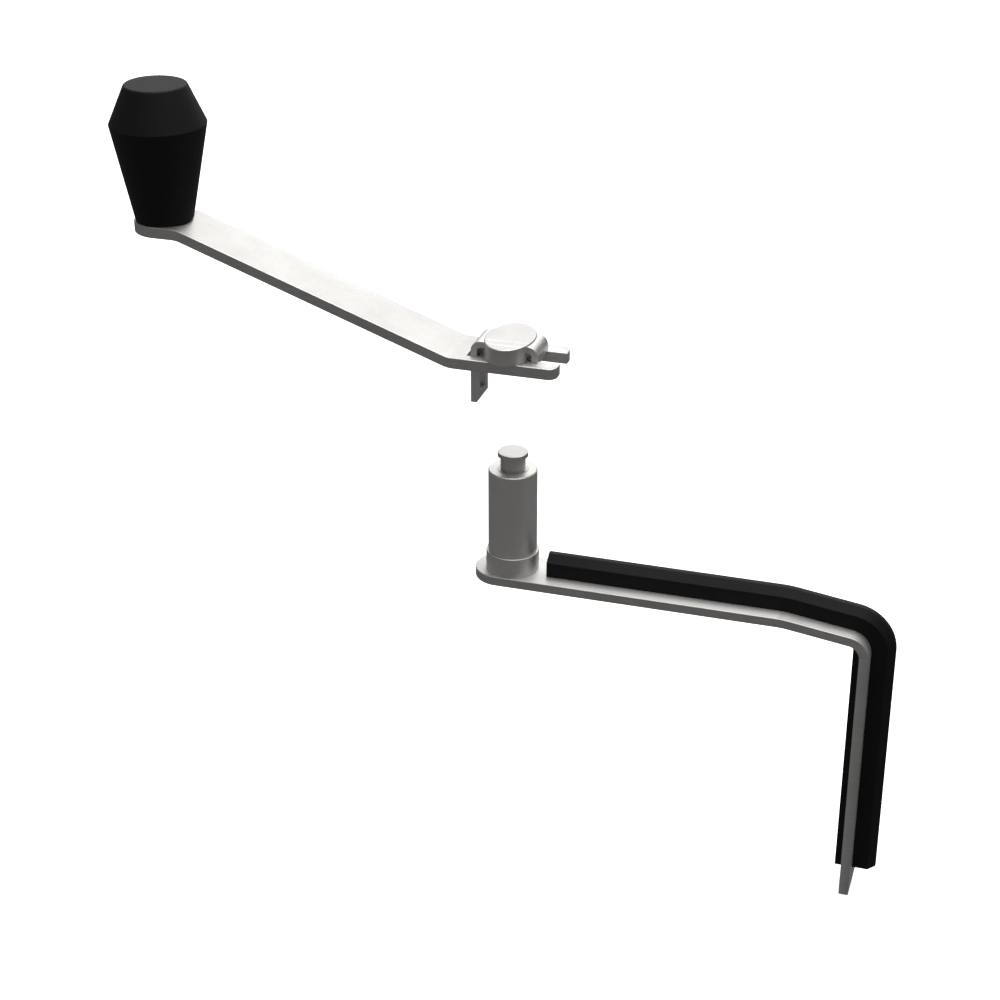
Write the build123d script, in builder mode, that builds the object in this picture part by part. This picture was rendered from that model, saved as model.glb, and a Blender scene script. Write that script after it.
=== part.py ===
from build123d import *
import os

# Hand crank with a drop-on handle, a spindle running in a bearing sleeve, and an
# L-shaped blade arm that carries a rubber strip. Millimetres, +Z up along the spindle.
# The origin is on the spindle's axis, at the lower end face of the bearing sleeve.
# The blade arm points to +X. The handle is drawn lifted off the spindle and reaches to -X.

# ---- driving dimensions ----
RUN = 0.05                    # running clearance per side
EDGE_RADIUS = 0.3             # broken edges of the bars

SLEEVE_OD = 16.0              # outside of the bearing sleeve, which the frame holds
SLEEVE_LENGTH = 29.0
SLEEVE_BORE = 13.0            # bore that takes the two bushes
SLEEVE_LIP = 2.0              # inward lip at the top that stops the upper bush

SHAFT_D = 10.0
SHOULDER_GAP = 0.1            # spindle shoulder above the sleeve's top face
NECK_D = 8.1
NECK_LENGTH = 4.6
HEAD_LENGTH = 1.4

UPPER_BUSH_LENGTH = 10.0
LOWER_BUSH_LENGTH = 10.2
LOWER_BUSH_INSET = 0.3
RING_THICKNESS = 1.0
RING_OD = 12.4
RING_GROOVE_D = 9.0
RING_GAP = 3.0
SEAL_CLEARANCE = 0.1

WASHER_THICKNESS = 0.5
WASHER_OD = 15.0
BOSS_OD = 17.4
BOSS_HEIGHT = 7.0
BOSS_GAP = 0.1                # boss below the sleeve; the washer sits in a recess and stands proud

BLADE_WIDTH = 18.0
BLADE_THICKNESS = 3.2
BLADE_REACH = 119.7           # spindle axis to the outer face of the leg
BLADE_DROP = 101.3            # bar's top face to the tip of the leg
BLADE_END_X = -12.4           # round end of the bar
BLADE_KNEE_X = 91.5           # where the bar starts to slope down
BLADE_KNEE_SLOPE = 8.0        # degrees
BLADE_KNEE_RADIUS = 30.0
BLADE_CORNER_RADIUS = 7.5     # outside radius of the bend into the leg
TENON_D = 8.0
TENON_HEAD_D = 12.0
TENON_HEAD_HEIGHT = 1.2

STRIP_WIDTH = 7.3
STRIP_START_X = 12.6
STRIP_DROP = 93.3             # bar's top face to the lower end of the strips
STRIP_SHOULDER = 5.1          # height of the strip's upright sides
STRIP_RIDGE = 7.4             # height of its pitched top
STRIP_RIDGE_WIDTH = 1.8
BACKING_THICKNESS = 2.6
RIVET_D = 3.0
RIVET_HEAD_D = 5.6
RIVET_HEAD_HEIGHT = 0.8
RIVET_RECESS = 0.9            # depth of the backing strip's hole for the rivet's head
RIVET_CLENCH_D = 5.0
RIVET_PITCH = 30.0
ARM_RIVETS_MID_X = 54.0
LEG_RIVETS_MID_DROP = 54.0

CRANK_LIFT = 36.5             # how far the handle is lifted off its seat
CRANK_WIDTH = 19.8
CRANK_THICKNESS = 3.7
CRANK_RADIUS = 117.2          # spindle axis to knob axis
CRANK_RISE = 32.6             # hub flat to knob flat
CRANK_HUB_BEND_X = -18.7
CRANK_KNOB_BEND_X = -109.3
CRANK_BEND_RADIUS = 8.0
FORK_TIP_X = 16.5
FORK_SLOT_WIDTH = 8.5
KEYHOLE_D = 10.6              # round end of the slot, wide enough for the spindle's head
PRONG_CORNER = 3.0
LATCH_HOLE_X = -11.7          # middle of the slot that takes the latch's long leg
LATCH_HOLE_LENGTH = 3.4
LATCH_HOLE_WIDTH = 12.6

CAP_CENTRE_X = -0.9
CAP_LENGTH_X = 15.9
CAP_LENGTH_Y = 23.8
CAP_HEIGHT = 5.45

LATCH_WIDTH = 12.0
LATCH_THICKNESS = 2.0
LATCH_TOP = 4.95               # strap's top face above the crank arm's top face
LATCH_LEFT_X = -12.2          # outer face of the long leg, latch open
LATCH_RIGHT_X = 9.65          # outer face of the short leg, latch open
LATCH_BEND_RADIUS = 3.3
LATCH_DEPTH = 15.9            # crank arm's top face to the bottom of the long leg
LATCH_CLEARANCE = 0.1
LATCH_LIP_X = 5.15            # end of the lip that hooks under the spindle's head
LATCH_TONGUE_WIDTH = 7.8
LATCH_LIP_TOP = 0.0            # from the crank arm's top face
WINDOW_WIDTH = 5.2
WINDOW_HEIGHT = 5.7
WINDOW_SILL = 2.8             # bottom of the long leg to the window

KNOB_BASE_D = 18.9
KNOB_RING_D = 31.2
KNOB_TOP_D = 20.0
KNOB_RING_HEIGHT = 31.5       # knob flat to the widest ring
KNOB_HEIGHT = 44.1
KNOB_EDGE_RADIUS = 0.8
KNOB_WASHER_THICKNESS = 0.4
KNOB_WASHER_OD = 14.0
STUD_D = 8.0
STUD_TENON_D = 6.0
STUD_HEAD_D = 10.0
STUD_HEAD_HEIGHT = 1.2
STUD_GROOVE_D = 6.4
STUD_NOSE = 1.2               # stud left above the clip's groove
KNOB_BUSH_OD = 12.0
KNOB_BUSH_TOP = 31.7          # above the knob flat
KNOB_FLANGE_D = 15.0
KNOB_FLANGE_HEIGHT = 1.2
CLIP_OD = 11.0
CLIP_THICKNESS = 0.8
CLIP_GAP = 3.6
CLIP_CLEARANCE = 0.1
CAVITY_HEIGHT = 3.0

# ---- levels and radii worked out from them ----
SHAFT_R = SHAFT_D / 2
BUSH_R = SHAFT_R + RUN
SHOULDER_Z = SLEEVE_LENGTH + SHOULDER_GAP
HEAD_Z = SHOULDER_Z + NECK_LENGTH
PIN_TOP_Z = HEAD_Z + HEAD_LENGTH
UPPER_BUSH_Z = SLEEVE_LENGTH - SLEEVE_LIP - UPPER_BUSH_LENGTH
RING_Z = LOWER_BUSH_INSET + LOWER_BUSH_LENGTH + LOWER_BUSH_INSET
WASHER_Z = -RUN - WASHER_THICKNESS
BOSS_TOP_Z = -BOSS_GAP
BAR_TOP = BOSS_TOP_Z - BOSS_HEIGHT
BAR_BOTTOM = BAR_TOP - BLADE_THICKNESS
CRANK_BOTTOM = SHOULDER_Z + CRANK_LIFT
HUB_TOP = CRANK_BOTTOM + CRANK_THICKNESS
KNOB_FLAT = HUB_TOP + CRANK_RISE
KNOB_BOTTOM = KNOB_FLAT + KNOB_WASHER_THICKNESS + RUN
KNOB_BUSH_R = STUD_D / 2 + RUN
CLIP_Z = KNOB_FLAT + KNOB_BUSH_TOP + CLIP_CLEARANCE
KNOB_AXIS = Axis((-CRANK_RADIUS, 0, 0), (0, 0, 1))
FAR = 200.0                   # cutting tools reach well past the piece

os.makedirs("parts", exist_ok=True)


def save(part, name):
    """Label one finished piece and write its STEP file."""
    part.label = name
    export_step(part, f"parts/{name}.step")


def tube(outer_d, inner_d, z, height, centre_x=0.0, gap=0.0):
    """A ring or tube standing on height z, split on its +Y side if it has a gap."""
    with BuildPart() as ring:
        with BuildSketch(Plane.XY.offset(z)):
            with Locations((centre_x, 0)):
                Circle(outer_d / 2)
                Circle(inner_d / 2, mode=Mode.SUBTRACT)
            if gap:
                with Locations((centre_x, outer_d / 2)):
                    Rectangle(gap, outer_d, mode=Mode.SUBTRACT)
        extrude(amount=height)
    return ring.part


def turned(points, axis=Axis.Z, centre_x=0.0):
    """A solid of revolution about an upright axis, from (radius, height) points."""
    with BuildPart() as turning:
        with BuildSketch(Plane.XZ):
            with BuildLine():
                Polyline(*[(centre_x + radius, z) for radius, z in points], close=True)
            make_face()
        revolve(axis=axis)
    return turning.part


def blade_points(depth, start_x, drop):
    """Corners of a line that follows the blade arm, depth below its outer face."""
    z = BAR_TOP - depth
    leg_x = BLADE_REACH - depth
    fall = Vector(1, 0).rotate(Axis.Z, -BLADE_KNEE_SLOPE)
    corner_z = z + (leg_x - BLADE_KNEE_X) * fall.Y / fall.X
    return [(start_x, z), (BLADE_KNEE_X, z), (leg_x, corner_z), (leg_x, BAR_TOP - drop)]


def bent_bar(depth, thickness, start_x, drop, width):
    """A flat bar that follows the blade arm, starting depth below its outer face."""
    outer = blade_points(depth, start_x, drop)
    inner = blade_points(depth + thickness, start_x, drop)
    with BuildPart() as bar:
        with BuildSketch(Plane.XZ) as section:
            with BuildLine():
                Polyline(*outer, *reversed(inner), close=True)
            make_face()
            for corners, level in ((outer, depth), (inner, depth + thickness)):
                fillet(section.vertices().sort_by_distance(corners[1])[0], BLADE_KNEE_RADIUS - level)
                fillet(section.vertices().sort_by_distance(corners[2])[0], BLADE_CORNER_RADIUS - level)
        extrude(amount=width / 2, both=True)
    return bar.part


# ---- bearing: sleeve, bushes and seal ----
with BuildPart() as bearing_sleeve:
    add(
        turned(
            [
                (SLEEVE_BORE / 2, 0),
                (SLEEVE_OD / 2, 0),
                (SLEEVE_OD / 2, SLEEVE_LENGTH),
                (BUSH_R, SLEEVE_LENGTH),
                (BUSH_R, SLEEVE_LENGTH - SLEEVE_LIP),
                (SLEEVE_BORE / 2, SLEEVE_LENGTH - SLEEVE_LIP),
            ]
        )
    )
    sleeve_rim = bearing_sleeve.edges().filter_by(GeomType.CIRCLE).group_by(Axis.Z)[-1]
    chamfer(sleeve_rim.sort_by(SortBy.RADIUS)[-1], 0.3)
save(bearing_sleeve.part, "bearing_sleeve")

save(tube(SLEEVE_BORE, 2 * BUSH_R, UPPER_BUSH_Z, UPPER_BUSH_LENGTH), "upper_bush")
save(tube(SLEEVE_BORE, 2 * BUSH_R, LOWER_BUSH_INSET, LOWER_BUSH_LENGTH), "lower_bush")

seal_radius = (SLEEVE_BORE / 2 - BUSH_R) / 2
with BuildPart() as shaft_seal:
    with BuildSketch(Plane.XZ):
        with Locations((BUSH_R + seal_radius, UPPER_BUSH_Z - SEAL_CLEARANCE - seal_radius)):
            Circle(seal_radius)
    revolve(axis=Axis.Z)
save(shaft_seal.part, "shaft_seal")

# ---- spindle: shaft, grooved neck, round head and riveted tenon in one turning ----
with BuildPart() as spindle:
    add(
        turned(
            [
                (0, BAR_BOTTOM - TENON_HEAD_HEIGHT),
                (TENON_HEAD_D / 2, BAR_BOTTOM - TENON_HEAD_HEIGHT),
                (TENON_HEAD_D / 2, BAR_BOTTOM),
                (TENON_D / 2, BAR_BOTTOM),
                (TENON_D / 2, BAR_TOP),
                (SHAFT_R, BAR_TOP),
                (SHAFT_R, RING_Z),
                (RING_GROOVE_D / 2, RING_Z),
                (RING_GROOVE_D / 2, RING_Z + RING_THICKNESS),
                (SHAFT_R, RING_Z + RING_THICKNESS),
                (SHAFT_R, SHOULDER_Z),
                (NECK_D / 2, SHOULDER_Z),
                (NECK_D / 2, HEAD_Z),
                (SHAFT_R, HEAD_Z),
                (SHAFT_R, PIN_TOP_Z),
                (0, PIN_TOP_Z),
            ]
        )
    )
    spindle_rims = spindle.edges().filter_by(GeomType.CIRCLE).group_by(Axis.Z)
    fillet(spindle_rims[0], 0.8)
    fillet(spindle_rims[-1], 0.35)
save(spindle.part, "spindle")

save(tube(RING_OD, RING_GROOVE_D, RING_Z, RING_THICKNESS, gap=RING_GAP), "retaining_ring")
save(tube(WASHER_OD, SHAFT_D, WASHER_Z, WASHER_THICKNESS), "thrust_washer")

with BuildPart() as base_boss:
    add(tube(BOSS_OD, SHAFT_D, BAR_TOP, BOSS_HEIGHT))
    boss_rim = base_boss.edges().filter_by(GeomType.CIRCLE).group_by(Axis.Z)[-1]
    chamfer(boss_rim.sort_by(SortBy.RADIUS)[-1], 0.2)
    with BuildSketch(Plane.XY.offset(WASHER_Z)):
        Circle(WASHER_OD / 2)
    extrude(amount=BOSS_HEIGHT, mode=Mode.SUBTRACT)
save(base_boss.part, "base_boss")

# ---- blade arm: flat bar bent into an L, with its rubber strips and their rivets ----
arm_rivet_planes = [
    Plane(origin=(ARM_RIVETS_MID_X + step * RIVET_PITCH, 0, BAR_TOP), x_dir=(0, 1, 0), z_dir=(0, 0, 1))
    for step in (-1, 0, 1)
]
leg_rivet_planes = [
    Plane(
        origin=(BLADE_REACH, 0, BAR_TOP - LEG_RIVETS_MID_DROP + step * RIVET_PITCH),
        x_dir=(0, 1, 0),
        z_dir=(1, 0, 0),
    )
    for step in (-1, 0, 1)
]
rivet_planes = arm_rivet_planes + leg_rivet_planes
rivet_end = BLADE_THICKNESS + BACKING_THICKNESS

with BuildPart() as blade_arm:
    add(bent_bar(0, BLADE_THICKNESS, BLADE_END_X, BLADE_DROP, BLADE_WIDTH))
    with BuildSketch(Plane.XY.offset(-FAR)):
        with Locations((BLADE_END_X + BLADE_WIDTH / 2, 0)):
            Circle(BLADE_WIDTH / 2)
            Rectangle(FAR, BLADE_WIDTH, align=(Align.MIN, Align.CENTER))
    extrude(amount=2 * FAR, mode=Mode.INTERSECT)
    fillet(blade_arm.edges(), EDGE_RADIUS)
    with BuildSketch(Plane.XY.offset(BAR_BOTTOM)):
        Circle(TENON_D / 2)
    extrude(amount=BLADE_THICKNESS, mode=Mode.SUBTRACT)
    for plane in rivet_planes:
        with BuildSketch(plane):
            Circle(RIVET_D / 2)
        extrude(amount=-BLADE_THICKNESS, mode=Mode.SUBTRACT)
save(blade_arm.part, "blade_arm")

with BuildPart() as blade_strip:
    with BuildLine(Plane.XZ) as strip_path:
        Polyline(*blade_points(0, STRIP_START_X, STRIP_DROP))
        corners = strip_path.vertices().sort_by(Axis.X)
        fillet(corners[1], BLADE_KNEE_RADIUS)
        fillet(strip_path.vertices().sort_by_distance(blade_points(0, 0, 0)[2])[0], BLADE_CORNER_RADIUS)
    with BuildSketch(Plane(origin=(STRIP_START_X, 0, BAR_TOP), x_dir=(0, 1, 0), z_dir=(1, 0, 0))):
        with BuildLine():
            Polyline(
                (-STRIP_WIDTH / 2, 0),
                (STRIP_WIDTH / 2, 0),
                (STRIP_WIDTH / 2, STRIP_SHOULDER),
                (STRIP_RIDGE_WIDTH / 2, STRIP_RIDGE),
                (-STRIP_RIDGE_WIDTH / 2, STRIP_RIDGE),
                (-STRIP_WIDTH / 2, STRIP_SHOULDER),
                close=True,
            )
        ridge = make_face().vertices().sort_by(Axis.Y)[-2:]
        fillet(ridge, 0.6)
    sweep()
    for plane in rivet_planes:
        with BuildSketch(plane):
            Circle(RIVET_CLENCH_D / 2)
        extrude(amount=RIVET_HEAD_HEIGHT, mode=Mode.SUBTRACT)
save(blade_strip.part, "blade_strip")

with BuildPart() as backing_strip:
    add(bent_bar(BLADE_THICKNESS, BACKING_THICKNESS, STRIP_START_X, STRIP_DROP, STRIP_WIDTH))
    for plane in rivet_planes:
        with BuildSketch(plane.offset(-rivet_end)):
            Circle(RIVET_D / 2)
        extrude(amount=BACKING_THICKNESS, mode=Mode.SUBTRACT)
        with BuildSketch(plane.offset(-rivet_end)):
            Circle(RIVET_HEAD_D / 2)
        extrude(amount=RIVET_RECESS, mode=Mode.SUBTRACT)
save(backing_strip.part, "backing_strip")

with BuildPart() as strip_rivets:
    for plane in rivet_planes:
        with BuildSketch(plane.offset(RIVET_RECESS - rivet_end)):
            Circle(RIVET_D / 2)
        extrude(amount=rivet_end - RIVET_RECESS)
        with BuildSketch(plane):
            Circle(RIVET_CLENCH_D / 2)
        extrude(amount=RIVET_HEAD_HEIGHT)
        with BuildSketch(plane.offset(RIVET_RECESS - RIVET_HEAD_HEIGHT - rivet_end)):
            Circle(RIVET_HEAD_D / 2)
        extrude(amount=RIVET_HEAD_HEIGHT)
save(strip_rivets.part, "strip_rivets")

# ---- crank arm: cranked flat bar, forked at the spindle end ----
crank_line = [
    (FORK_TIP_X, HUB_TOP),
    (CRANK_HUB_BEND_X, HUB_TOP),
    (CRANK_KNOB_BEND_X, KNOB_FLAT),
    (-CRANK_RADIUS - CRANK_WIDTH / 2, KNOB_FLAT),
]
with BuildPart() as crank_arm:
    with BuildSketch(Plane.XZ) as crank_section:
        with BuildLine():
            Polyline(*crank_line, *[(x, z - CRANK_THICKNESS) for x, z in reversed(crank_line)], close=True)
        make_face()
        for (x, z), radius in zip(crank_line[1:3], (CRANK_BEND_RADIUS, CRANK_BEND_RADIUS + CRANK_THICKNESS)):
            fillet(crank_section.vertices().sort_by_distance((x, z))[0], radius)
            lower_radius = 2 * CRANK_BEND_RADIUS + CRANK_THICKNESS - radius
            fillet(crank_section.vertices().sort_by_distance((x, z - CRANK_THICKNESS))[0], lower_radius)
    extrude(amount=CRANK_WIDTH / 2, both=True)
    with BuildSketch(Plane.XY) as crank_plan:
        with Locations((FORK_TIP_X, 0)):
            Rectangle(CRANK_RADIUS + FORK_TIP_X, CRANK_WIDTH, align=(Align.MAX, Align.CENTER))
        fillet(crank_plan.vertices().group_by(Axis.X)[-1], PRONG_CORNER)
        with Locations((-CRANK_RADIUS, 0)):
            Circle(CRANK_WIDTH / 2)
        Circle(KEYHOLE_D / 2, mode=Mode.SUBTRACT)
        Rectangle(2 * FORK_TIP_X, FORK_SLOT_WIDTH, align=(Align.MIN, Align.CENTER), mode=Mode.SUBTRACT)
        with Locations((LATCH_HOLE_X, 0)):
            Rectangle(LATCH_HOLE_LENGTH, LATCH_HOLE_WIDTH, mode=Mode.SUBTRACT)
    extrude(amount=FAR, mode=Mode.INTERSECT)
    fillet(crank_arm.edges(), EDGE_RADIUS)
    with BuildSketch(Plane.XY.offset(KNOB_FLAT)):
        with Locations((-CRANK_RADIUS, 0)):
            Circle(STUD_TENON_D / 2)
    extrude(amount=-CRANK_THICKNESS, mode=Mode.SUBTRACT)
save(crank_arm.part, "crank_arm")

# ---- latch: strap with a windowed leg and a hooked tongue, and the oval cap on top of it ----
strap_top = HUB_TOP + LATCH_TOP
strap_under = strap_top - LATCH_THICKNESS
leg_bottom = HUB_TOP - LATCH_DEPTH
lip_top = HUB_TOP + LATCH_LIP_TOP
tongue_top = HUB_TOP + LATCH_CLEARANCE
with BuildPart() as latch_plate:
    with BuildSketch(Plane.XZ) as strap_section:
        with BuildLine():
            Polyline(
                (LATCH_LEFT_X, leg_bottom),
                (LATCH_LEFT_X, strap_top),
                (LATCH_RIGHT_X, strap_top),
                (LATCH_RIGHT_X, lip_top - LATCH_THICKNESS),
                (LATCH_LIP_X, lip_top - LATCH_THICKNESS),
                (LATCH_LIP_X, lip_top),
                (LATCH_RIGHT_X - LATCH_THICKNESS, lip_top),
                (LATCH_RIGHT_X - LATCH_THICKNESS, strap_under),
                (LATCH_LEFT_X + LATCH_THICKNESS, strap_under),
                (LATCH_LEFT_X + LATCH_THICKNESS, leg_bottom),
                close=True,
            )
        make_face()
        for x, sign in ((LATCH_LEFT_X, 1), (LATCH_RIGHT_X, -1)):
            fillet(strap_section.vertices().sort_by_distance((x, strap_top))[0], LATCH_BEND_RADIUS)
            inner_corner = (x + sign * LATCH_THICKNESS, strap_under)
            fillet(
                strap_section.vertices().sort_by_distance(inner_corner)[0],
                LATCH_BEND_RADIUS - LATCH_THICKNESS,
            )
        heel = (LATCH_RIGHT_X, lip_top - LATCH_THICKNESS)
        fillet(strap_section.vertices().sort_by_distance(heel)[0], LATCH_THICKNESS * 0.8)
    extrude(amount=LATCH_WIDTH / 2, both=True)
    tongue_side = (LATCH_WIDTH - LATCH_TONGUE_WIDTH) / 2
    with BuildSketch(Plane.XY.offset(tongue_top)):
        for side in (-1, 1):
            with Locations((LATCH_LIP_X, side * (LATCH_TONGUE_WIDTH + tongue_side) / 2)):
                Rectangle(FAR, tongue_side, align=(Align.MIN, Align.CENTER))
    extrude(amount=-FAR, mode=Mode.SUBTRACT)
    with BuildSketch(Plane.YZ.offset(LATCH_LEFT_X)):
        with Locations((0, leg_bottom + WINDOW_SILL)):
            Rectangle(WINDOW_WIDTH, WINDOW_HEIGHT, align=(Align.CENTER, Align.MIN))
    extrude(amount=LATCH_THICKNESS, mode=Mode.SUBTRACT)
save(latch_plate.part, "latch_plate")

with BuildPart() as latch_button:
    with BuildSketch(Plane.XY.offset(HUB_TOP + LATCH_CLEARANCE)):
        with Locations((CAP_CENTRE_X, 0)):
            Ellipse(CAP_LENGTH_X / 2, CAP_LENGTH_Y / 2)
    extrude(amount=CAP_HEIGHT - LATCH_CLEARANCE)
    fillet(latch_button.edges().group_by(Axis.Z)[-1], 0.5)
    with BuildSketch(Plane.XZ) as strap_outline:
        with BuildLine():
            Polyline(
                (LATCH_LEFT_X, HUB_TOP),
                (LATCH_LEFT_X, strap_top),
                (LATCH_RIGHT_X, strap_top),
                (LATCH_RIGHT_X, HUB_TOP),
                close=True,
            )
        make_face()
        fillet(strap_outline.vertices().group_by(Axis.Y)[-1], LATCH_BEND_RADIUS)
    extrude(amount=LATCH_WIDTH / 2, both=True, mode=Mode.SUBTRACT)
save(latch_button.part, "latch_button")

# ---- knob: grip and its bush turn on a stud riveted to the crank arm ----
save(
    tube(KNOB_WASHER_OD, STUD_D, KNOB_FLAT, KNOB_WASHER_THICKNESS, centre_x=-CRANK_RADIUS),
    "knob_washer",
)

stud_top = CLIP_Z + CLIP_THICKNESS + STUD_NOSE
with BuildPart() as knob_stud:
    add(
        turned(
            [
                (0, KNOB_FLAT - CRANK_THICKNESS - STUD_HEAD_HEIGHT),
                (STUD_HEAD_D / 2, KNOB_FLAT - CRANK_THICKNESS - STUD_HEAD_HEIGHT),
                (STUD_HEAD_D / 2, KNOB_FLAT - CRANK_THICKNESS),
                (STUD_TENON_D / 2, KNOB_FLAT - CRANK_THICKNESS),
                (STUD_TENON_D / 2, KNOB_FLAT),
                (STUD_D / 2, KNOB_FLAT),
                (STUD_D / 2, CLIP_Z),
                (STUD_GROOVE_D / 2, CLIP_Z),
                (STUD_GROOVE_D / 2, CLIP_Z + CLIP_THICKNESS),
                (STUD_D / 2, CLIP_Z + CLIP_THICKNESS),
                (STUD_D / 2, stud_top),
                (0, stud_top),
            ],
            axis=KNOB_AXIS,
            centre_x=-CRANK_RADIUS,
        )
    )
    fillet(knob_stud.edges().filter_by(GeomType.CIRCLE).group_by(Axis.Z)[0], 0.6)
save(knob_stud.part, "knob_stud")

save(
    tube(CLIP_OD, STUD_GROOVE_D, CLIP_Z, CLIP_THICKNESS, centre_x=-CRANK_RADIUS, gap=CLIP_GAP),
    "stud_clip",
)

flange_top = KNOB_BOTTOM + KNOB_FLANGE_HEIGHT
bush_top = KNOB_FLAT + KNOB_BUSH_TOP
save(
    turned(
        [
            (KNOB_BUSH_R, KNOB_BOTTOM),
            (KNOB_FLANGE_D / 2, KNOB_BOTTOM),
            (KNOB_FLANGE_D / 2, flange_top),
            (KNOB_BUSH_OD / 2, flange_top),
            (KNOB_BUSH_OD / 2, bush_top),
            (KNOB_BUSH_R, bush_top),
        ],
        axis=KNOB_AXIS,
        centre_x=-CRANK_RADIUS,
    ),
    "knob_bush",
)

cavity_top = bush_top + CAVITY_HEIGHT
with BuildPart() as knob_grip:
    add(
        turned(
            [
                (KNOB_FLANGE_D / 2, KNOB_BOTTOM),
                (KNOB_BASE_D / 2, KNOB_BOTTOM),
                (KNOB_RING_D / 2, KNOB_FLAT + KNOB_RING_HEIGHT),
                (KNOB_TOP_D / 2, KNOB_FLAT + KNOB_HEIGHT),
                (0, KNOB_FLAT + KNOB_HEIGHT),
                (0, cavity_top),
                (KNOB_BUSH_OD / 2, cavity_top),
                (KNOB_BUSH_OD / 2, flange_top),
                (KNOB_FLANGE_D / 2, flange_top),
            ],
            axis=KNOB_AXIS,
            centre_x=-CRANK_RADIUS,
        )
    )
    grip_rims = knob_grip.edges().filter_by(GeomType.CIRCLE).group_by(Axis.Z)
    fillet(grip_rims[-1], KNOB_EDGE_RADIUS)
    fillet(knob_grip.edges().filter_by(GeomType.CIRCLE).sort_by(SortBy.RADIUS)[-1], 0.4)
save(knob_grip.part, "knob_grip")
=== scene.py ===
import math

import bpy
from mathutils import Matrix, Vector


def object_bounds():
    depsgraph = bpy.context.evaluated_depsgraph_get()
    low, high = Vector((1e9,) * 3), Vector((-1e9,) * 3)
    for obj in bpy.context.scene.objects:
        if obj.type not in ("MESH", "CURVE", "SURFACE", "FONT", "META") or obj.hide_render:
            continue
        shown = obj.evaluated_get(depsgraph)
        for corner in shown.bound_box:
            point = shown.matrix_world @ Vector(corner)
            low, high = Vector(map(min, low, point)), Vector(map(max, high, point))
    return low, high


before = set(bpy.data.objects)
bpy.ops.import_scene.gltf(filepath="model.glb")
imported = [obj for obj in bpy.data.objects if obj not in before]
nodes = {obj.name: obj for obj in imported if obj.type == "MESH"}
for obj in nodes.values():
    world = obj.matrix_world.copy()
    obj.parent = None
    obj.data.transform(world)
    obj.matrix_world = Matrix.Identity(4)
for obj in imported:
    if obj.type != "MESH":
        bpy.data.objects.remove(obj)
cad_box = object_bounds()
scene = bpy.context.scene


# ---------------------------------------------------------------- node-tree helpers
def new_material(name):
    m = bpy.data.materials.new(name)
    m.use_nodes = True
    nt = m.node_tree
    nt.nodes.clear()
    out = nt.nodes.new("ShaderNodeOutputMaterial")
    bsdf = nt.nodes.new("ShaderNodeBsdfPrincipled")
    nt.links.new(bsdf.outputs["BSDF"], out.inputs["Surface"])
    return m, nt, bsdf


def node(nt, kind, **settings):
    n = nt.nodes.new(kind)
    for key, value in settings.items():
        setattr(n, key, value)
    return n


def coords(nt, scale=(1.0, 1.0, 1.0), rotation=(0.0, 0.0, 0.0)):
    tc = node(nt, "ShaderNodeTexCoord")
    mp = node(nt, "ShaderNodeMapping")
    mp.inputs["Scale"].default_value = scale
    mp.inputs["Rotation"].default_value = rotation
    nt.links.new(tc.outputs["Object"], mp.inputs["Vector"])
    return mp.outputs["Vector"]


def noise(nt, vector, scale, detail, rough):
    n = node(nt, "ShaderNodeTexNoise")
    n.inputs["Scale"].default_value = scale
    n.inputs["Detail"].default_value = detail
    n.inputs["Roughness"].default_value = rough
    nt.links.new(vector, n.inputs["Vector"])
    return n.outputs["Fac"]


def ramp(nt, fac, start, dark, end, light):
    """Colour from dark to light as fac goes from start to end."""
    r = node(nt, "ShaderNodeValToRGB")
    for element, position, colour in zip(r.color_ramp.elements, (start, end), (dark, light)):
        element.position = position
        element.color = (*colour, 1.0)
    nt.links.new(fac, r.inputs["Fac"])
    return r.outputs["Color"]


def scaled(nt, value, low, high):
    r = node(nt, "ShaderNodeMapRange")
    r.inputs["To Min"].default_value = low
    r.inputs["To Max"].default_value = high
    nt.links.new(value, r.inputs["Value"])
    return r.outputs["Result"]


def weighted_sum(nt, a, weight_a, b, weight_b):
    total = node(nt, "ShaderNodeMath", operation="ADD")
    for i, (value, weight) in enumerate(((a, weight_a), (b, weight_b))):
        part = node(nt, "ShaderNodeMath", operation="MULTIPLY")
        nt.links.new(value, part.inputs[0])
        part.inputs[1].default_value = weight
        nt.links.new(part.outputs["Value"], total.inputs[i])
    return total.outputs["Value"]


def bump(nt, bsdf, height, strength, distance):
    b = node(nt, "ShaderNodeBump")
    b.inputs["Strength"].default_value = strength
    b.inputs["Distance"].default_value = distance
    nt.links.new(height, b.inputs["Height"])
    nt.links.new(b.outputs["Normal"], bsdf.inputs["Normal"])


# ---------------------------------------------------------------- materials
EDGE_WEAR_AND_HIGHLIGHT_FROM, EDGE_WEAR_AND_HIGHLIGHT_TO = 0.52, 0.60      # pointiness: 0.5 is a flat face, higher an outside edge
EDGE_WEAR_AND_HIGHLIGHT_AMOUNT = 0.55
EDGE_WEAR_AND_HIGHLIGHT_LIFT = 1.25                     # how much paler an outside edge is: a painted highlight where light catches the edge, also rubbed wear
STEEL_ROUGH_SPREAD = 0.07
NO_GRAIN = (1.0, 1.0, 1.0)
UNTURNED = (0.0, 0.0, 0.0)


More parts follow.
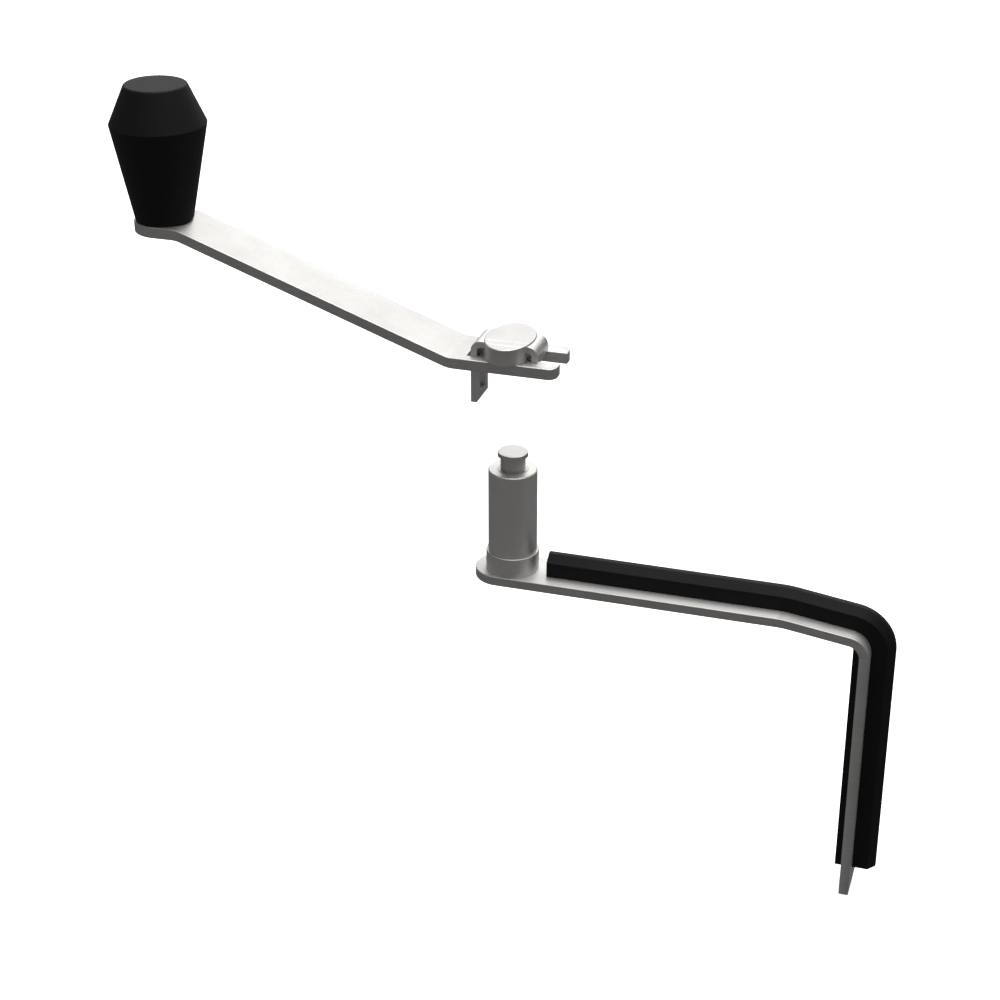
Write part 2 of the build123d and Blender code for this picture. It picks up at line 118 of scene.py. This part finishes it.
def brushed_steel(name, dark, light, rough, grain=NO_GRAIN, rotation=UNTURNED):
    """Satin steel: fine grain drawn out along one axis, soft blotches, and outside edges
    painted paler, which is a painted edge highlight and also rubbed wear.
    """
    m, nt, bsdf = new_material(name)
    fine = noise(nt, coords(nt, grain, rotation), 2600.0, 3.0, 0.6)
    cloud = noise(nt, coords(nt), 55.0, 5.0, 0.6)
    mixed = weighted_sum(nt, fine, 0.45, cloud, 0.55)
    colour = ramp(nt, mixed, 0.34, dark, 0.66, light)
    # outside edges (high pointiness) are mixed towards a paler colour: a painted edge
    # highlight, also rubbed wear
    edge_wear_and_highlight = node(nt, "ShaderNodeMapRange")
    edge_wear_and_highlight.inputs["From Min"].default_value = EDGE_WEAR_AND_HIGHLIGHT_FROM
    edge_wear_and_highlight.inputs["From Max"].default_value = EDGE_WEAR_AND_HIGHLIGHT_TO
    edge_wear_and_highlight.inputs["To Max"].default_value = EDGE_WEAR_AND_HIGHLIGHT_AMOUNT
    geometry = node(nt, "ShaderNodeNewGeometry")
    nt.links.new(geometry.outputs["Pointiness"], edge_wear_and_highlight.inputs["Value"])
    mix = node(nt, "ShaderNodeMix", data_type="RGBA")
    nt.links.new(edge_wear_and_highlight.outputs["Result"], mix.inputs["Factor"])
    nt.links.new(colour, mix.inputs["A"])
    mix.inputs["B"].default_value = (*[min(1.0, c * EDGE_WEAR_AND_HIGHLIGHT_LIFT) for c in light], 1.0)
    nt.links.new(mix.outputs["Result"], bsdf.inputs["Base Color"])
    bsdf.inputs["Metallic"].default_value = 1.0
    roughness = scaled(nt, mixed, rough - STEEL_ROUGH_SPREAD, rough + STEEL_ROUGH_SPREAD)
    nt.links.new(roughness, bsdf.inputs["Roughness"])
    bump(nt, bsdf, fine, 0.12, 0.00005)
    return m


def moulded_plastic(name):
    """Matte black moulding: fine spark-eroded grain and faint handling marks."""
    m, nt, bsdf = new_material(name)
    grain = noise(nt, coords(nt), 2200.0, 4.0, 0.65)
    marks = noise(nt, coords(nt, (1.0, 1.0, 0.35)), 60.0, 5.0, 0.6)
    colour = ramp(nt, marks, 0.35, (0.0022, 0.0022, 0.0024), 0.7, (0.0045, 0.0045, 0.0048))
    nt.links.new(colour, bsdf.inputs["Base Color"])
    nt.links.new(scaled(nt, marks, 0.62, 0.76), bsdf.inputs["Roughness"])
    bsdf.inputs["Specular IOR Level"].default_value = 0.27
    bump(nt, bsdf, grain, 0.22, 0.00008)
    return m


def rubber(name, dark, light):
    """Matte extruded rubber: fine grain and a dusty bloom."""
    m, nt, bsdf = new_material(name)
    grain = noise(nt, coords(nt), 1500.0, 5.0, 0.7)
    bloom = noise(nt, coords(nt), 38.0, 6.0, 0.62)
    nt.links.new(ramp(nt, bloom, 0.36, dark, 0.68, light), bsdf.inputs["Base Color"])
    nt.links.new(scaled(nt, bloom, 0.60, 0.76), bsdf.inputs["Roughness"])
    bsdf.inputs["Specular IOR Level"].default_value = 0.25
    bump(nt, bsdf, grain, 0.25, 0.0001)
    return m


def bronze(name):
    """Sintered bronze: tiny pores and oily patches."""
    m, nt, bsdf = new_material(name)
    pores = noise(nt, coords(nt), 3200.0, 2.0, 0.5)
    oil = noise(nt, coords(nt), 120.0, 4.0, 0.6)
    colour = ramp(nt, oil, 0.35, (0.30, 0.19, 0.09), 0.7, (0.50, 0.35, 0.18))
    nt.links.new(colour, bsdf.inputs["Base Color"])
    bsdf.inputs["Metallic"].default_value = 1.0
    nt.links.new(scaled(nt, oil, 0.32, 0.52), bsdf.inputs["Roughness"])
    bump(nt, bsdf, pores, 0.3, 0.00005)
    return m


STEEL = (0.50, 0.49, 0.475), (0.62, 0.61, 0.595)
ZINC = (0.36, 0.36, 0.37), (0.52, 0.52, 0.53)
SPRING_STEEL = (0.10, 0.10, 0.105), (0.20, 0.20, 0.205)
DARK_RUBBER = (0.0030, 0.0030, 0.0032), (0.0070, 0.0070, 0.0073)
INNER_RUBBER = (0.005, 0.005, 0.0055), (0.012, 0.012, 0.0125)

CRANK_RISE, CRANK_RUN = 32.6, 90.6   # mm, the sloping length of the crank arm
CRANK_SLOPE = (0.0, math.atan2(CRANK_RISE, CRANK_RUN), 0.0)
ALONG_ARM = (0.06, 1.0, 1.0)
ALONG_BAR = (0.06, 1.0, 0.35)
TURNED = (0.35, 0.35, 1.0)

materials = {
    "crank_arm": brushed_steel("crank_steel", *STEEL, 0.50, ALONG_ARM, CRANK_SLOPE),
    "blade_arm": brushed_steel("bar_steel", *STEEL, 0.58, ALONG_BAR),
    "bearing_sleeve": brushed_steel("sleeve_steel", *STEEL, 0.50, TURNED),
    "base_boss": brushed_steel("boss_steel", *STEEL, 0.50, TURNED),
    "spindle": brushed_steel("spindle_steel", *STEEL, 0.46, TURNED),
    "latch_plate": brushed_steel("latch_steel", *STEEL, 0.50, (1.0, 0.08, 1.0)),
    "latch_button": brushed_steel("cap_steel", *STEEL, 0.50, (1.0, 0.1, 1.0)),
    "strip_rivets": brushed_steel("rivet_zinc", *ZINC, 0.42),
    "knob_stud": brushed_steel("stud_steel", *STEEL, 0.34),
    "knob_washer": brushed_steel("washer_steel", *STEEL, 0.36),
    "thrust_washer": bronze("thrust_bronze"),
    "upper_bush": bronze("upper_bush_bronze"),
    "lower_bush": bronze("lower_bush_bronze"),
    "knob_bush": bronze("knob_bush_bronze"),
    "retaining_ring": brushed_steel("ring_spring_steel", *SPRING_STEEL, 0.42),
    "stud_clip": brushed_steel("clip_spring_steel", *SPRING_STEEL, 0.42),
    "knob_grip": moulded_plastic("knob_plastic"),
    "blade_strip": rubber("strip_rubber", *DARK_RUBBER),
    "backing_strip": rubber("backing_rubber", *INNER_RUBBER),
    "shaft_seal": rubber("seal_rubber", *INNER_RUBBER),
}
for name, material in materials.items():
    mesh = nodes[name].data
    mesh.materials.clear()
    mesh.materials.append(material)

# ---------------------------------------------------------------- floor
FLOOR_SIZE = 8.0
FLOOR_GAP = 0.0002
FLOOR_GLOW = 0.80                    # a lit white sweep
floor_z = cad_box[0].z - FLOOR_GAP
bpy.ops.mesh.primitive_plane_add(size=FLOOR_SIZE, location=(0.0, 0.0, floor_z))
floor = bpy.context.object
floor.name = "floor"
paper, nt, bsdf = new_material("floor_paper")
speckle = noise(nt, coords(nt), 3.0, 3.0, 0.55)
shade = ramp(nt, speckle, 0.3, (0.86, 0.86, 0.86), 0.7, (0.90, 0.90, 0.90))
nt.links.new(shade, bsdf.inputs["Base Color"])
bsdf.inputs["Roughness"].default_value = 0.9
bsdf.inputs["Emission Color"].default_value = (1.0, 1.0, 1.0, 1.0)
bsdf.inputs["Emission Strength"].default_value = FLOOR_GLOW
floor.data.materials.append(paper)
floor.visible_glossy = False         # no white floor mirrored in the upright steel faces
floor.visible_diffuse = False


# ---------------------------------------------------------------- light
def softbox(name, location, target, size, power):
    light = bpy.data.lights.new(name, "AREA")
    light.shape = "RECTANGLE"
    light.size, light.size_y = size
    light.energy = power
    ob = bpy.data.objects.new(name, light)
    scene.collection.objects.link(ob)
    ob.location = location
    facing = (Vector(target) - Vector(location)).to_track_quat("-Z", "Y")
    ob.rotation_euler = facing.to_euler()


softbox("top", (0.15, 0.30, 1.7), (0.10, 0.10, -0.05), (1.3, 1.8), 38.0)
softbox("back", (-0.4, 2.1, 0.9), (0.0, 0.0, 0.05), (2.6, 0.8), 17.0)

WORLD_ON_OBJECT = 0.16
WORLD_SEEN = 1.0
world = bpy.data.worlds.new("studio")
scene.world = world
world.use_nodes = True
wt = world.node_tree
background = wt.nodes["Background"]
background.inputs["Color"].default_value = (1.0, 1.0, 1.0, 1.0)
path = wt.nodes.new("ShaderNodeLightPath")
level = scaled(wt, path.outputs["Is Camera Ray"], WORLD_ON_OBJECT, WORLD_SEEN)
wt.links.new(level, background.inputs["Strength"])
scene.view_settings.view_transform = "Standard"

# ---------------------------------------------------------------- camera
SENSOR_MM = 36.0
LENS_MM = 76.36
CAMERA_TILT = math.radians(63.292)   # from straight down
CAMERA_TURN = math.radians(17.007)
cam = bpy.data.objects.new("camera", bpy.data.cameras.new("camera"))
scene.collection.objects.link(cam)
cam.data.sensor_width = SENSOR_MM
cam.data.lens = LENS_MM
cam.location = (0.17635, -0.59087, 0.32767)
cam.rotation_euler = (CAMERA_TILT, 0.0, CAMERA_TURN)
scene.camera = cam
